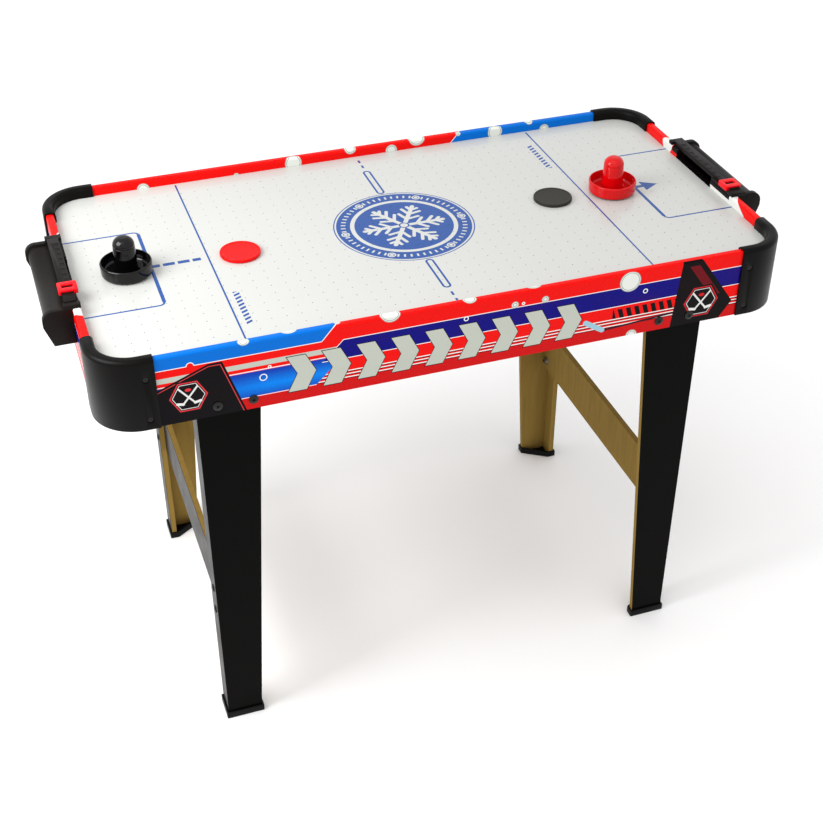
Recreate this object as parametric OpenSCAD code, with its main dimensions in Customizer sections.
// Air hockey table: a boxed rink on four bolted board legs, with an air blower
// under the playing surface, a goal with a score rail at each end, and loose
// pushers and pucks.
// Origin: middle of the table on the floor. +X along the rink, +Y across, +Z up.

/* [Rink] */
// Length of the rink over its end aprons
rink_l = 1016; // [980:1:1060]
// Width of the rink over its long aprons
rink_w = 520; // [500:1:560]
// Height of the rail top above the floor
rail_z = 699; // [660:1:760]
// Height of the apron boards
apron_h = 106; // [104:1:112]
// Thickness of the apron boards
board_t = 12; // [11:0.5:13]
// Depth of the playing surface below the rail top
field_drop = 14; // [13:0.5:16]
// Thickness of the playing surface
field_t = 4; // [3:0.5:5]
// Rounding along the top edges of the rails
rail_round = 3.5; // [2:0.5:4]

/* [Corner caps] */
// Length that a cap covers along each side of a corner
cap_leg = 80; // [72:1:100]
// Radius of the cap's outer corner
cap_r = 63; // [58:1:68]
// How far a cap stands proud of the boards
cap_proud = 3; // [2.5:0.5:4]

/* [Goals] */
// Width of a goal box over its end flanges
goal_w = 204; // [190:2:220]
// How far a goal box stands out from the end apron
goal_d = 42; // [38:1:50]
// Height of a goal box
goal_h = 54; // [50:1:60]
// Reach of the goal mouth to the score rail's step side of the middle
mouth_short = 39; // [34:1:45]
// Reach of the goal mouth to the other side of the middle
mouth_long = 73; // [60:1:80]
// Width of the score rail
score_rail_w = 16.6; // [15:0.2:18]
// Place of the left score slider along its rail
score_left_y = -56; // [-70:1:70]
// Place of the right score slider along its rail
score_right_y = -76; // [-76:1:70]

/* [Legs] */
// Distance of the legs' outer faces from the middle of the table
leg_x = 379; // [360:1:400]
// Thickness of the leg boards
leg_t = 9; // [8:0.5:10]
// Width of a leg's side board at the apron's lower edge
leg_w_top = 89; // [80:1:100]
// Width of a leg's side board at the foot
leg_w_foot = 53; // [50:1:70]
// Depth of a leg's end board
leg_end_w = 38; // [34:1:46]
// Height of the plastic foot caps
foot_h = 12; // [10:1:20]
// Lower edge of the stretchers
stretcher_z = 199; // [120:1:300]
// Height of the stretcher boards
stretcher_h = 83; // [76:1:100]

/* [Playing pieces] */
// Diameter of a pusher at its rim
pusher_d = 74; // [68:1:80]
// Height of a pusher over its felt pad
pusher_h = 57; // [50:1:66]
// Height of a pusher's rim
pusher_rim_h = 19; // [16:1:22]
// Diameter of a pusher's knob
knob_d = 33; // [30:1:36]
// Diameter of a puck
puck_d = 60; // [54:1:64]
// Thickness of a puck
puck_t = 5; // [4:0.5:6]

/* [Blower] */
// Outer diameter of the blower housing
blower_d = 116; // [110:2:130]
// Number of blades on the impeller
blades = 7; // [5:1:9]

/* [Hidden] */
$fn = 64;
eps = 0.01;

// Rink levels and faces
half_l = rink_l / 2;
half_w = rink_w / 2;
in_l = half_l - board_t;
in_w = half_w - board_t;
apron_z = rail_z - apron_h;
field_z = rail_z - field_drop;
batten = 12;
batten_z = field_z - field_t - batten;
panel_t = 3;
panel_z = apron_z + 47;
chamber_mid_z = panel_z + 16;

// Corner caps: centre of the corner arc, wall and inner radius
arc_x = half_l + cap_proud - cap_r;
arc_y = half_w + cap_proud - cap_r;
cap_w = board_t + 2 * cap_proud;
cap_r_in = cap_r - cap_w;
cap_top_round = 7;
cap_screw_x = arc_x - 7;
cap_screw_z = [apron_z + 15, rail_z - 28];
board_gap = 2;
block_leg = 100;
corner_cut = 16;

// Goals, in the frame of the right end; the left end is the same turned half round
goal_wall = 2.5;
flange_w = 9;
barrel_drop = 3.5;
goal_round = 15;
goal_z = rail_z - goal_h;
chamfer_z = goal_z + 31;
chamfer_x = half_l + goal_d - 11;
goal_screw_y = goal_w / 2 - 15;
goal_screw_z = goal_z + 9;
puck_return_w = 84;
puck_return_h = 22;
rail_x0 = half_l - 7.5;
rail_x1 = rail_x0 + score_rail_w;
score_rail_h = 7;
bracket_y = goal_w / 2 - 10;
step_w = 4;
slider_w = 26.8;
slider_l = 25;
slider_x0 = rail_x0 - 6.6;
slider_top = rail_z + 10.2;
slider_z = rail_z + 3.6;
slide_gap = 0.25;
tick_pitch = 15;

// Legs and stretchers
leg_top_z = apron_z + 33;
leg_taper = (leg_w_top - leg_w_foot) / apron_z;
leg_bolt_x = [302, 351];
leg_bolt_z = apron_z + 15;
foot_floor = 2.5;
foot_wall = 3;
stretcher_bolt_y = in_w - 20;
stretcher_bolt_z = [stretcher_z + 18, stretcher_z + stretcher_h - 22];
bolt_r = 3;
bolt_hole_r = 3.3;

// Blower, hung under the middle of the bottom panel
blower_r = blower_d / 2;
blower_wall = 2;
flange_r = blower_r + 14;
inlet_r = 44;
grille_t = 3;
can_h = 34;
grille_z = panel_z - 3 - can_h - grille_t;
motor_z = grille_z + grille_t;
motor_r = 18;
motor_h = 19;
shaft_r = 1.5;
shaft_bore_r = 1.55;
impeller_z = motor_z + motor_h + 4.5;
impeller_r = blower_r - 8;
lead_hole_x = flange_r + 8;
lead_r = 1.7;
lead_entry_z = motor_z + 5;

// Switch and socket in the back apron
switch_x = 180;
socket_x = 215;
bezel_t = 1.5;
switch_in_y = half_w - 20;
rocker_pivot_y = half_w - 3.4;
rocker_off = 8;

// Playing pieces
float_gap = 0.2;
pad_t = 1.5;
pusher_black_at = [-419, -7];
pusher_red_at = [344, 0];
puck_red_at = [-253.5, -4];
puck_black_at = [245.5, 5];

// ---- Shared shapes ----

// Places children at the end s (-1 left, 1 right), turned half round for the left
module at_end(s) {
    rotate([0, 0, s > 0 ? 0 : 180]) children();
}

// Mirrors children into the quadrant with the signs s (X) and t (Y)
module in_quadrant(s, t) {
    mirror([s > 0 ? 0 : 1, 0, 0]) mirror([0, t > 0 ? 0 : 1, 0]) children();
}

// Upright slab outline from x0 to x1 and z0 to z1, with its two top corners rounded
module dome_slab(x0, x1, z0, z1, r) {
    translate([x0, z0]) square([x1 - x0, z1 - r - z0]);
    translate([x0 + r, z0]) square([x1 - x0 - 2 * r, z1 - z0]);
    for (x = [x0 + r, x1 - r]) translate([x, z1 - r]) circle(r);
}

// Flat outline w by h about its middle, with round corners
module round_rect(w, h, r) {
    square([w, h - 2 * r], center = true);
    square([w - 2 * r, h], center = true);
    for (x = [-1, 1], y = [-1, 1]) translate([x * (w / 2 - r), y * (h / 2 - r)]) circle(r);
}

// Extrudes an outline, drawn in X and Z, along Y from y0 to y1
module along_y(y0, y1) {
    translate([0, y1, 0]) rotate([90, 0, 0]) linear_extrude(y1 - y0) children();
}

// Extrudes an outline, drawn in Y and Z, along X from x0 to x1
module along_x(x0, x1) {
    translate([x0, 0, 0]) rotate([90, 0, 90]) linear_extrude(x1 - x0) children();
}

// Cylinder along Y between y0 and y1
module rod_y(x, z, r, y0, y1) {
    translate([x, y0, z]) rotate([-90, 0, 0]) cylinder(r = r, h = y1 - y0);
}

// Cylinder along X between x0 and x1
module rod_x(y, z, r, x0, x1) {
    translate([x0, y, z]) rotate([0, 90, 0]) cylinder(r = r, h = x1 - x0);
}

// Low domed bolt head on the plane z = 0, with its shank below
module dome_bolt(head_r, head_h, shank) {
    rotate_extrude() difference() {
        intersection() {
            translate([0, head_h - head_r * 2.2]) circle(head_r * 2.2);
            square([head_r, head_h]);
        }
        translate([-head_r, 0]) square([head_r, head_h]);
    }
    translate([0, 0, -shank]) cylinder(r = bolt_r, h = shank);
}

// Hex nut on a washer, above the plane z = 0, bored for a bolt
module nut_on_washer() {
    difference() {
        union() {
            cylinder(r = 8, h = 1.2);
            translate([0, 0, 1.2]) cylinder(r = 5.6, h = 4.6, $fn = 6);
        }
        translate([0, 0, -1]) cylinder(r = bolt_r + 0.05, h = 9);
    }
}

// ---- Rink ----

module field_outline(corner) {
    round_rect(2 * in_l - 0.6, 2 * in_w - 0.6, corner);
}

module playfield() {
    color("whitesmoke") translate([0, 0, field_z - field_t]) linear_extrude(field_t)
        field_outline(cap_r_in);
}

module bottom_panel() {
    x = in_l - 0.5;
    y = in_w - 0.5;
    c = corner_cut + 1;
    color("burlywood") translate([0, 0, panel_z]) difference() {
        linear_extrude(panel_t) polygon([[x - c, -y], [x, c - y], [x, y - c], [x - c, y],
                                         [c - x, y], [-x, y - c], [-x, c - y], [c - x, -y]]);
        translate([0, 0, -1]) cylinder(r = inlet_r, h = panel_t + 2);
        translate([lead_hole_x, 0, -1]) cylinder(r = 3.8, h = panel_t + 2);
        for (a = [45:90:315]) rotate([0, 0, a]) translate([blower_r + 8, 0, -1])
            cylinder(r = 2.2, h = panel_t + 2);
    }
}

// Long apron on the +Y side, with the holes for its leg bolts and cap screws
module long_apron() {
    difference() {
        along_x(board_gap - arc_x, arc_x - board_gap) dome_slab(in_w, half_w, apron_z, rail_z, rail_round);
        for (s = [-1, 1], x = leg_bolt_x) rod_y(s * x, leg_bolt_z, bolt_hole_r, in_w - 1, half_w + 1);
        for (s = [-1, 1], z = cap_screw_z) rod_y(s * cap_screw_x, z, 1.8, half_w - 11, half_w + 1);
    }
}

module front_apron() {
    color("red") mirror([0, 1, 0]) long_apron();
}

module back_apron() {
    color("red") difference() {
        long_apron();
        translate([switch_x, half_w, chamber_mid_z]) cube([19.4, 3 * board_t, 13.4], center = true);
        rod_y(socket_x, chamber_mid_z, 5.6, in_w - 1, half_w + 1);
    }
}

// Right end apron, notched for the goal mouth
module end_apron() {
    difference() {
        along_y(board_gap - arc_y, arc_y - board_gap) dome_slab(in_l, half_l, apron_z, rail_z, rail_round);
        translate([in_l - 1, -mouth_short, field_z])
            cube([board_t + 2, mouth_short + mouth_long, field_drop + 1]);
        for (y = [-goal_screw_y, 0, goal_screw_y]) rod_x(y, goal_screw_z, 2.2, in_l - 1, half_l + 1);
    }
}

module left_apron() {
    color("red") at_end(-1) end_apron();
}

module right_apron() {
    color("red") at_end(1) end_apron();
}

module long_batten(z, reach) {
    translate([-reach, in_w - batten, z]) cube([2 * reach, batten, batten]);
}

module end_batten(z, reach) {
    translate([in_l - batten, -reach, z]) cube([batten, 2 * reach, batten]);
}

module front_field_batten() {
    color("tan") mirror([0, 1, 0]) long_batten(batten_z, in_l - block_leg - 2);
}

module back_field_batten() {
    color("tan") long_batten(batten_z, in_l - block_leg - 2);
}

module left_field_batten() {
    color("tan") at_end(-1) end_batten(batten_z, in_w - block_leg - 2);
}

module right_field_batten() {
    color("tan") at_end(1) end_batten(batten_z, in_w - block_leg - 2);
}

module front_panel_batten() {
    color("tan") mirror([0, 1, 0]) long_batten(panel_z - batten, arc_x - board_gap);
}

module back_panel_batten() {
    color("tan") long_batten(panel_z - batten, arc_x - board_gap);
}

// Three-sided blocks that join the aprons at the corners and carry the field
module corner_blocks() {
    z0 = panel_z + panel_t;
    color("tan") for (s = [-1, 1], t = [-1, 1]) in_quadrant(s, t)
        translate([0, 0, z0]) linear_extrude(field_z - field_t - z0)
            polygon([[in_l - block_leg, in_w], [in_l, in_w - block_leg],
                     [in_l, in_w - corner_cut], [in_l - corner_cut, in_w]]);
}

// ---- Corner caps ----

// Section of a cap: outer wall, rounded top and short inner wall over the boards
module cap_section() {
    r_slot = cap_r_in + cap_proud;
    difference() {
        dome_slab(cap_r_in, cap_r, apron_z, rail_z + cap_proud, cap_top_round);
        translate([r_slot, apron_z - 1]) square([board_t, apron_h + 1]);
        translate([cap_r_in - 1, apron_z - 1])
            square([cap_proud + 1 + eps, field_z + float_gap - apron_z + 1]);
    }
}

module corner_cap() {
    straight_x = arc_x - (half_l - cap_leg);
    straight_y = arc_y - (half_w - cap_leg);
    difference() {
        translate([arc_x, arc_y, 0]) {
            rotate_extrude(angle = 90) cap_section();
            rotate([90, 0, 0]) linear_extrude(straight_y) cap_section();
            translate([-straight_x, 0, 0]) rotate([90, 0, 90]) linear_extrude(straight_x) cap_section();
        }
        for (z = cap_screw_z) {
            rod_y(cap_screw_x, z, 2.1, half_w - 1, half_w + 4);
            rod_y(cap_screw_x, z, 4.3, half_w + 1.2, half_w + 5);
        }
    }
}

module corner_cap_front_left() {
    color("dimgray") in_quadrant(-1, -1) corner_cap();
}

module corner_cap_front_right() {
    color("dimgray") in_quadrant(1, -1) corner_cap();
}

module corner_cap_back_left() {
    color("dimgray") in_quadrant(-1, 1) corner_cap();
}

module corner_cap_back_right() {
    color("dimgray") in_quadrant(1, 1) corner_cap();
}

module cap_screws() {
    color("silver") for (s = [-1, 1], t = [-1, 1], z = cap_screw_z) in_quadrant(s, t) {
        rod_y(cap_screw_x, z, 4, half_w + 1.2, half_w + 2.8);
        rod_y(cap_screw_x, z, 1.75, half_w - 10, half_w + 1.3);
    }
}

// ---- Goals ----

// Side outline of a goal box, drawn in by d; low sets how far its floor comes up
module goal_outline(d, low) {
    x1 = half_l + goal_d - d;
    z1 = rail_z - d;
    r = goal_round - d / 2;
    polygon(concat(
        [[half_l, goal_z + low], [chamfer_x - d, goal_z + low], [x1, chamfer_z]],
        [for (a = [0:6:90]) [x1 - r + r * cos(a), z1 - r + r * sin(a)]],
        [[half_l, z1]]));
}

module goal_box() {
    y_end = goal_w / 2;
    difference() {
        union() {
            along_y(flange_w - y_end, y_end - flange_w) goal_outline(barrel_drop, 0);
            for (t = [-1, 1]) along_y(t > 0 ? y_end - flange_w : -y_end, t > 0 ? y_end : flange_w - y_end)
                goal_outline(0, 0);
        }
        difference() {
            along_y(goal_wall - y_end, y_end - goal_wall)
                goal_outline(barrel_drop + goal_wall, goal_wall);
            for (y = [-goal_screw_y, 0, goal_screw_y]) translate([half_l, y - 5, goal_z])
                cube([13, 10, 15]);
        }
        // Puck return through one half of the sloping lower face
        translate([half_l + goal_d - 16, -2 - puck_return_w, goal_z + 6])
            cube([20, puck_return_w, puck_return_h]);
        for (y = [-goal_screw_y, 0, goal_screw_y]) rod_x(y, goal_screw_z, 1.8, half_l - 1, half_l + 11);
    }
}

module goal_box_left() {
    color("dimgray") at_end(-1) goal_box();
}

module goal_box_right() {
    color("dimgray") at_end(1) goal_box();
}

module goal_screws() {
    color("silver") for (s = [-1, 1], y = [-goal_screw_y, 0, goal_screw_y]) at_end(s) {
        rod_x(y, goal_screw_z, 4, in_l - 2, in_l);
        rod_x(y, goal_screw_z, 1.75, in_l - 0.1, half_l + 10);
    }
}

// Score rail over the mouth: bar, lip against the goal box, end brackets and step
module score_rail() {
    y_end = goal_w / 2;
    z1 = rail_z + score_rail_h;
    translate([rail_x0, -bracket_y, rail_z]) cube([score_rail_w, 2 * bracket_y, score_rail_h]);
    translate([half_l, flange_w - y_end, rail_z - barrel_drop])
        cube([rail_x1 - half_l, 2 * (y_end - flange_w), barrel_drop + 1]);
    for (t = [-1, 1]) translate([in_l, t > 0 ? bracket_y : -y_end - 3, rail_z])
        cube([rail_x1 + 2 - in_l, y_end - bracket_y + (t > 0 ? 0 : 3), score_rail_h - 1.5]);
    translate([rail_x0 - step_w, -bracket_y - 1, rail_z])
        cube([step_w + 1, bracket_y + 1 - mouth_short, 3]);
    // Raised ticks, one for each goal scored
    for (i = [-5:5]) translate([rail_x0 + 2, i * tick_pitch - 0.6, z1 - 0.2])
        cube([i % 5 == 0 ? 9 : 6, 1.2, 0.5]);
}

module score_rail_left() {
    color("dimgray") at_end(-1) score_rail();
}

module score_rail_right() {
    color("dimgray") at_end(1) score_rail();
}

// Score slider: windowed buckle over the rail, at the place y along it
module score_slider(y) {
    x_mid = slider_x0 + slider_w / 2;
    difference() {
        translate([x_mid, y, slider_z]) linear_extrude(slider_top - slider_z)
            round_rect(slider_w, slider_l, 3);
        translate([rail_x0 - slide_gap, y - slider_l, slider_z - 1])
            cube([score_rail_w + 2 * slide_gap, 2 * slider_l, rail_z + score_rail_h + 0.6 - slider_z + 1]);
        translate([x_mid, y, slider_z]) linear_extrude(20) round_rect(16, 8, 1);
    }
}

module score_slider_left() {
    color("red") at_end(-1) score_slider(-score_left_y);
}

module score_slider_right() {
    color("red") at_end(1) score_slider(score_right_y);
}

// ---- Legs ----

// Side board of the +X +Y leg: plumb outer edge, tapered inner edge, mitred corner
module leg_side() {
    w_foot = leg_w_foot + leg_taper * foot_floor;
    w_top = leg_w_foot + leg_taper * leg_top_z;
    difference() {
        along_y(in_w - leg_t, in_w)
            polygon([[leg_x, foot_floor], [leg_x, leg_top_z], [leg_x - w_top, leg_top_z],
                     [leg_x - w_foot, foot_floor]]);
        leg_mitre(1);
        for (x = leg_bolt_x) rod_y(x, leg_bolt_z, bolt_hole_r, in_w - leg_t - 1, in_w + 1);
    }
}

// End board of the +X +Y leg
module leg_end() {
    difference() {
        translate([leg_x - leg_t, in_w - leg_end_w, foot_floor])
            cube([leg_t, leg_end_w, leg_top_z - foot_floor]);
        leg_mitre(-1);
        for (z = stretcher_bolt_z) rod_x(stretcher_bolt_y, z, bolt_hole_r, leg_x - leg_t - 1, leg_x + 1);
    }
}

// Wedge cut off at a leg's outer corner, so that its two boards meet on a mitre
module leg_mitre(side) {
    translate([leg_x, in_w, 0]) linear_extrude(leg_top_z + 1)
        polygon(side > 0 ? [[0, 0], [-leg_t, -leg_t], [0, -leg_t]] : [[0, 0], [-leg_t, -leg_t], [-leg_t, 0]]);
}

module leg_front_left_side() {
    color("black") in_quadrant(-1, -1) leg_side();
}

module leg_front_left_end() {
    color("black") in_quadrant(-1, -1) leg_end();
}

module leg_front_right_side() {
    color("black") in_quadrant(1, -1) leg_side();
}

module leg_front_right_end() {
    color("black") in_quadrant(1, -1) leg_end();
}

module leg_back_left_side() {
    color("black") in_quadrant(-1, 1) leg_side();
}

module leg_back_left_end() {
    color("black") in_quadrant(-1, 1) leg_end();
}

module leg_back_right_side() {
    color("black") in_quadrant(1, 1) leg_side();
}

module leg_back_right_end() {
    color("black") in_quadrant(1, 1) leg_end();
}

// Foot cap: floor, walls round both boards and a slanting web across the corner
module foot_cap() {
    w = leg_w_foot + leg_taper * foot_h;
    x0 = leg_x - w - foot_wall;
    x1 = leg_x + foot_wall;
    y0 = in_w - leg_end_w - foot_wall;
    y1 = in_w + foot_wall;
    xe = leg_x - leg_t - foot_wall;
    ys = in_w - leg_t - foot_wall;
    difference() {
        linear_extrude(foot_h) polygon([[x1, y1], [x0, y1], [x0, ys], [xe, y0], [x1, y0]]);
        translate([0, 0, foot_floor]) linear_extrude(foot_h)
            polygon([[leg_x, in_w], [leg_x - w, in_w], [leg_x - w, in_w - leg_t],
                     [leg_x - leg_t, in_w - leg_end_w], [leg_x, in_w - leg_end_w]]);
    }
}

module foot_cap_front_left() {
    color("black") in_quadrant(-1, -1) foot_cap();
}

module foot_cap_front_right() {
    color("black") in_quadrant(1, -1) foot_cap();
}

module foot_cap_back_left() {
    color("black") in_quadrant(-1, 1) foot_cap();
}

module foot_cap_back_right() {
    color("black") in_quadrant(1, 1) foot_cap();
}

module leg_bolts() {
    color("black") for (s = [-1, 1], t = [-1, 1], x = leg_bolt_x) in_quadrant(s, t)
        translate([x, half_w, leg_bolt_z]) rotate([-90, 0, 0]) dome_bolt(6.8, 2.8, board_t + leg_t + 7);
}

module leg_nuts() {
    color("silver") for (s = [-1, 1], t = [-1, 1], x = leg_bolt_x) in_quadrant(s, t)
        translate([x, in_w - leg_t, leg_bolt_z]) rotate([90, 0, 0]) nut_on_washer();
}

// Stretcher board between the end boards of the +X legs
module stretcher() {
    difference() {
        translate([leg_x - 2 * leg_t, leg_t - in_w, stretcher_z])
            cube([leg_t, 2 * (in_w - leg_t), stretcher_h]);
        for (t = [-1, 1], z = stretcher_bolt_z)
            rod_x(t * stretcher_bolt_y, z, bolt_hole_r, leg_x - 2 * leg_t - 1, leg_x - leg_t + 1);
    }
}

module stretcher_left() {
    color("black") mirror([1, 0, 0]) stretcher();
}

module stretcher_right() {
    color("black") stretcher();
}

module stretcher_bolts() {
    color("black") for (s = [-1, 1], t = [-1, 1], z = stretcher_bolt_z) in_quadrant(s, t)
        translate([leg_x, stretcher_bolt_y, z]) rotate([0, 90, 0]) dome_bolt(6, 2.6, 2 * leg_t + 7);
}

module stretcher_nuts() {
    color("silver") for (s = [-1, 1], t = [-1, 1], z = stretcher_bolt_z) in_quadrant(s, t)
        translate([leg_x - 2 * leg_t, stretcher_bolt_y, z]) rotate([0, -90, 0]) nut_on_washer();
}

// ---- Blower ----

module blower_housing() {
    color("dimgray") difference() {
        union() {
            translate([0, 0, panel_z - 3]) cylinder(r = flange_r, h = 3);
            translate([0, 0, motor_z]) cylinder(r = blower_r, h = can_h);
        }
        translate([0, 0, motor_z - 1]) cylinder(r = blower_r - blower_wall, h = can_h + 1);
        translate([0, 0, motor_z]) cylinder(r = inlet_r, h = can_h + 4);
        rod_x(0, lead_entry_z, lead_r + 0.8, blower_r - 4, blower_r + 2);
        for (a = [45:90:315]) rotate([0, 0, a]) translate([blower_r + 8, 0, panel_z - 4])
            cylinder(r = 2.2, h = 5);
    }
}

// Inlet grille: rim, rings and spokes, with a pad for the motor
module blower_grille() {
    color("dimgray") translate([0, 0, grille_z]) linear_extrude(grille_t) {
        for (r = [blower_r, 45, 31]) difference() {
            circle(r);
            circle(r - 5);
        }
        circle(motor_r - 1);
        for (a = [0:60:300]) rotate(a) translate([motor_r - 4, -2.5]) square([blower_r - motor_r + 1, 5]);
    }
}

module blower_motor() {
    color("silver") difference() {
        union() {
            translate([0, 0, motor_z]) cylinder(r = motor_r, h = motor_h);
            translate([0, 0, motor_z + motor_h]) cylinder(r = 5, h = 2);
        }
        translate([0, 0, motor_z + 9]) cylinder(r = shaft_bore_r, h = motor_h);
    }
}

module motor_shaft() {
    z0 = motor_z + 10;
    color("silver") translate([0, 0, z0]) cylinder(r = shaft_r, h = impeller_z + 9 - z0);
}

module impeller() {
    color("white") difference() {
        union() {
            translate([0, 0, impeller_z]) cylinder(r = 12, h = 9);
            for (i = [0:blades - 1]) rotate([0, 0, i * 360 / blades]) translate([10, 0, impeller_z + 4.5])
                rotate([35, 0, 0]) translate([0, -5, -0.8]) cube([impeller_r - 10, 10, 1.6]);
        }
        translate([0, 0, impeller_z - 1]) cylinder(r = shaft_r, h = 11);
    }
}

module blower_screws() {
    color("silver") for (a = [45:90:315]) rotate([0, 0, a]) translate([blower_r + 8, 0, 0]) {
        translate([0, 0, panel_z - 5.2]) cylinder(r = 4, h = 2.2);
        translate([0, 0, panel_z - 3.1]) cylinder(r = 2, h = 10);
        translate([0, 0, panel_z + panel_t]) cylinder(r = 4, h = 3, $fn = 6);
    }
}

// ---- Switch, socket and inner leads ----

// Hollow switch case in the back apron, with a bezel on its face
module switch_body() {
    color("black") translate([switch_x, 0, chamber_mid_z]) difference() {
        union() {
            along_y(switch_in_y, half_w) square([19, 13], center = true);
            along_y(half_w, half_w + bezel_t) round_rect(23, 17, 2);
        }
        along_y(half_w - 8.5, half_w + 3) square([15.4, 10.4], center = true);
    }
}

// Rocker, pivoting about its long middle line and resting in its off position
module switch_rocker() {
    color("red") translate([switch_x, rocker_pivot_y, chamber_mid_z]) rotate([rocker_off, 0, 0])
        along_x(-7.3, 7.3) {
            circle(2);
            polygon([[-1, -3.8], [4.6, -4.1], [5.0, -3.6], [4.0, 0],
                     [5.0, 3.6], [4.6, 4.1], [-1, 3.8], [-2, 0]]);
        }
}

module power_socket() {
    color("black") difference() {
        union() {
            rod_y(socket_x, chamber_mid_z, 5.5, half_w - 20, half_w);
            rod_y(socket_x, chamber_mid_z, 7.5, half_w, half_w + bezel_t);
        }
        difference() {
            rod_y(socket_x, chamber_mid_z, 2.8, half_w - 9, half_w + 3);
            rod_y(socket_x, chamber_mid_z, 1.05, half_w - 10, half_w - 0.5);
        }
    }
}

// Smooth route through the points p: a point at the fraction f between p[i] and p[i + 1]
function at(p, i) = p[max(0, min(len(p) - 1, i))];
function spline(p, i, f) =
    0.5 * ((2 * at(p, i)) + (at(p, i + 1) - at(p, i - 1)) * f
        + (2 * at(p, i - 1) - 5 * at(p, i) + 4 * at(p, i + 1) - at(p, i + 2)) * pow(f, 2)
        + (3 * at(p, i) - 3 * at(p, i + 1) + at(p, i + 2) - at(p, i - 1)) * pow(f, 3));
function smooth(p, n) =
    concat([for (i = [0:len(p) - 2], k = [0:n - 1]) spline(p, i, k / n)], [p[len(p) - 1]]);
function unit(v) = v / norm(v);
function heading(q, i) = unit(at(q, i + 1) - at(q, i - 1));

// Side direction of the ring at each point, carried along so that the tube doesn't twist
function sides(q, i, v) = i == len(q) ? [] :
    let (t = heading(q, i), w = unit(v - t * (v * t))) concat([w], sides(q, i + 1, w));

// Round lead of radius r through the points q, with square ends
module lead(q, r, n) {
    first = abs(heading(q, 0)[2]) > 0.9 ? [1, 0, 0] : [0, 0, 1];
    s = sides(q, 0, first);
    rings = [for (i = [0:len(q) - 1], k = [0:n - 1])
        q[i] + r * (cos(360 * k / n) * s[i] + sin(360 * k / n) * cross(heading(q, i), s[i]))];
    last = (len(q) - 1) * n;
    polyhedron(rings, concat(
        [[for (k = [0:n - 1]) k]],
        [for (i = [0:len(q) - 2], k = [0:n - 1])
            [i * n + k, (i + 1) * n + k, (i + 1) * n + (k + 1) % n, i * n + (k + 1) % n]],
        [[for (k = [n - 1:-1:0]) last + k]]));
}

// From the back of the socket round to the back of the switch
module socket_lead() {
    y = switch_in_y;
    z = chamber_mid_z;
    color("black") lead(smooth([[socket_x, y, z], [socket_x, y - 6, z], [socket_x - 5, y - 15, z],
        [socket_x - 15, y - 20, z], [socket_x - 25, y - 15, z], [switch_x + 5, y - 6, z],
        [switch_x + 5, y, z]], 3), lead_r, 8);
}

// From the back of the switch over the bottom panel, down through it and in to the motor
module motor_lead() {
    y = switch_in_y;
    low = panel_z + panel_t + 3;
    x = lead_hole_x;
    color("black") lead(smooth([[switch_x - 5, y, chamber_mid_z], [switch_x - 5, y - 8, chamber_mid_z],
        [switch_x - 6, y - 30, low + 3], [switch_x - 16, y - 60, low], [switch_x - 40, y - 110, low],
        [switch_x - 70, y - 160, low], [x + 12, y - 200, low], [x + 5, 24, low + 2], [x + 1, 10, low + 6],
        [x, 2, low + 3], [x, 0, low - 2], [x, 0, panel_z - 6], [x, 0, panel_z - 14],
        [x - 2, 0, lead_entry_z + 6], [x - 9, 0, lead_entry_z], [x - 22, 0, lead_entry_z],
        [motor_r + 12, 0, lead_entry_z], [motor_r, 0, lead_entry_z]], 3), lead_r, 8);
}

// ---- Playing pieces ----

// Section of a pusher, turned about its axis: dish with a rim, and a hollow domed knob
module pusher_section() {
    r = pusher_d / 2;
    k = knob_d / 2;
    wall = 2.4;
    dome = 12;
    difference() {
        union() {
            square([r - 2.8, 3]);
            polygon([[r - 3, 0], [r - 1.5, 0.8], [r - 0.6, 3], [r, pusher_rim_h - 1.2],
                     [r - 1.2, pusher_rim_h], [r - wall, pusher_rim_h], [r - wall - 0.6, 6],
                     [r - wall - 3, 3], [r - 8, 1]]);
            polygon([[0, 1], [k + 3, 1], [k + 3, 3], [k + 1, 5], [k, 9], [k - 1, pusher_h - dome],
                     [0, pusher_h - dome]]);
            intersection() {
                translate([k - 1 - dome, pusher_h - dome]) circle(dome);
                translate([0, pusher_h - dome - eps]) square([k, dome + 1]);
            }
            translate([0, pusher_h - dome - eps]) square([k - 1 - dome, dome + eps]);
        }
        polygon([[-1, -1], [k - wall, -1], [k - wall - 1, pusher_h - dome - 1],
                 [k - wall - 6, pusher_h - wall - 2], [-1, pusher_h - wall - 1]]);
    }
}

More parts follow.
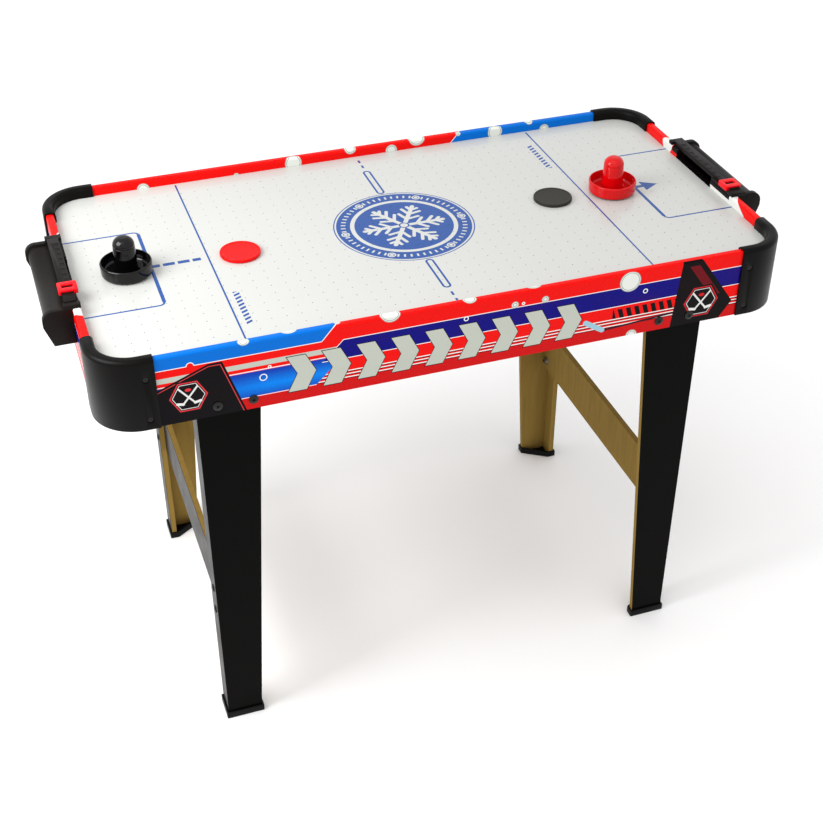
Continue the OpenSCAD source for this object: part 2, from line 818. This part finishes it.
module pusher(at) {
    translate([at[0], at[1], field_z + float_gap + pad_t]) rotate_extrude($fn = 96) pusher_section();
}

// Felt ring glued under a pusher
module felt_pad(at) {
    translate([at[0], at[1], field_z + float_gap]) difference() {
        cylinder(r = pusher_d / 2 - 4.5, h = pad_t);
        translate([0, 0, -1]) cylinder(r = knob_d / 2 - 2, h = pad_t + 2);
    }
}

module pusher_black() {
    color("#1c1c1c") pusher(pusher_black_at);
}

module pusher_red() {
    color("red") pusher(pusher_red_at);
}

module felt_pad_black() {
    color("gray") felt_pad(pusher_black_at);
}

module felt_pad_red() {
    color("gray") felt_pad(pusher_red_at);
}

// Puck with a rounded rim
module puck(at) {
    r = 1.2;
    translate([at[0], at[1], field_z + float_gap]) rotate_extrude($fn = 96) {
        square([puck_d / 2 - r, puck_t]);
        translate([0, r]) square([puck_d / 2, puck_t - 2 * r]);
        for (z = [r, puck_t - r]) translate([puck_d / 2 - r, z]) circle(r);
    }
}

module puck_red() {
    color("red") puck(puck_red_at);
}

module puck_black() {
    color("#1c1c1c") puck(puck_black_at);
}

playfield();
bottom_panel();
front_apron();
back_apron();
left_apron();
right_apron();
front_field_batten();
back_field_batten();
left_field_batten();
right_field_batten();
front_panel_batten();
back_panel_batten();
corner_blocks();
corner_cap_front_left();
corner_cap_front_right();
corner_cap_back_left();
corner_cap_back_right();
cap_screws();
goal_box_left();
goal_box_right();
score_rail_left();
score_rail_right();
score_slider_left();
score_slider_right();
goal_screws();
leg_front_left_side();
leg_front_left_end();
leg_front_right_side();
leg_front_right_end();
leg_back_left_side();
leg_back_left_end();
leg_back_right_side();
leg_back_right_end();
foot_cap_front_left();
foot_cap_front_right();
foot_cap_back_left();
foot_cap_back_right();
leg_bolts();
leg_nuts();
stretcher_left();
stretcher_right();
stretcher_bolts();
stretcher_nuts();
blower_housing();
blower_grille();
blower_motor();
motor_shaft();
impeller();
blower_screws();
switch_body();
switch_rocker();
power_socket();
socket_lead();
motor_lead();
pusher_black();
pusher_red();
felt_pad_black();
felt_pad_red();
puck_red();
puck_black();
